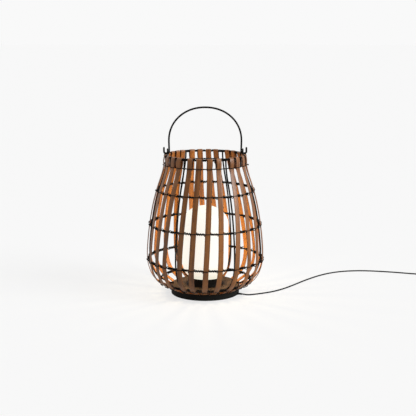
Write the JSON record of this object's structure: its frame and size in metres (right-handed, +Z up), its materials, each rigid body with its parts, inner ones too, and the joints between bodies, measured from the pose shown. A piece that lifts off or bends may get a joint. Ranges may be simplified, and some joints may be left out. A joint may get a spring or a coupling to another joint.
{
  "type": "basket lantern lamp",
  "caption": "Corded basket lantern: rattan strips tied round a black wire frame, an opal diffuser on a round weighted base, a swinging wire bail, and a mains lead with plug.",
  "frame": {"origin": "on the lantern's vertical axis, at the surface that its base stands on", "axes": "+Z up along the lantern's axis; the bail hinges about X; -Y is the front; the lead leaves towards +X"},
  "size_m": [0.9649, 0.4966, 0.5642],
  "materials": {
    "rattan": "oiled brown rattan strip, satin, with fine lengthwise grain",
    "black_steel": "satin black paint on steel wire",
    "binding_wire": "matt black annealed binding wire",
    "base_black": "fine textured black powder coat",
    "felt": "black felt",
    "ballast_iron": "rough cast",
    "lead_black": "smooth matt black cable sheath",
    "brass": "plain turned brass",
    "holder_black": "moulded black",
    "bulb_cap": "rolled thread",
    "bulb_opal": "opal lamp globe",
    "opal": "satin opal diffuser, lit warm white from inside",
    "plug_black": "moulded black"
  },
  "bodies": {
    "lantern": {"slat_01": "rattan", "slat_02": "rattan", "slat_03": "rattan", "slat_04": "rattan", "slat_05": "rattan", "slat_06": "rattan", "slat_07": "rattan", "slat_08": "rattan", "slat_09": "rattan", "slat_10": "rattan", "slat_11": "rattan", "slat_12": "rattan", "slat_13": "rattan", "slat_14": "rattan", "slat_15": "rattan", "slat_16": "rattan", "slat_17": "rattan", "slat_18": "rattan", "slat_19": "rattan", "slat_20": "rattan", "slat_21": "rattan", "slat_22": "rattan", "slat_23": "rattan", "slat_24": "rattan", "frame_rod_1": "black_steel", "frame_rod_2": "black_steel", "frame_rod_3": "black_steel", "frame_rod_4": "black_steel", "frame_rod_5": "black_steel", "frame_rod_6": "black_steel", "rim_ring": "black_steel", "hoop_upper": "black_steel", "hoop_middle": "black_steel", "hoop_lower": "black_steel", "hoop_bottom": "black_steel", "lashing_upper": "binding_wire", "lashing_middle": "binding_wire", "lashing_lower": "binding_wire", "lashing_bottom": "binding_wire", "lashing_rim": "binding_wire", "base_band": "rattan", "handle_eye_right": "black_steel", "handle_eye_left": "black_steel", "base_housing": "base_black", "felt_pad": "felt", "bottom_cover": "base_black", "ballast_weight": "ballast_iron", "strain_relief": "lead_black", "inner_lead": "lead_black", "threaded_nipple": "brass", "diffuser_collar": "base_black", "lampholder": "holder_black", "bulb_cap": "bulb_cap", "bulb_globe": "bulb_opal", "diffuser": "opal", "cord_lead": "lead_black", "cord_coil": "lead_black", "coil_tie": "holder_black", "plug": "plug_black"},
    "bail": {"handle": "black_steel"}
  },
  "joints": [
    {"name": "bail_swing", "type": "hinge", "parent": "lantern", "child": "bail", "pos_m": [0, 0, 0.4265], "axis": [1, 0, 0], "range_deg": [-85, 85]}
  ]
}
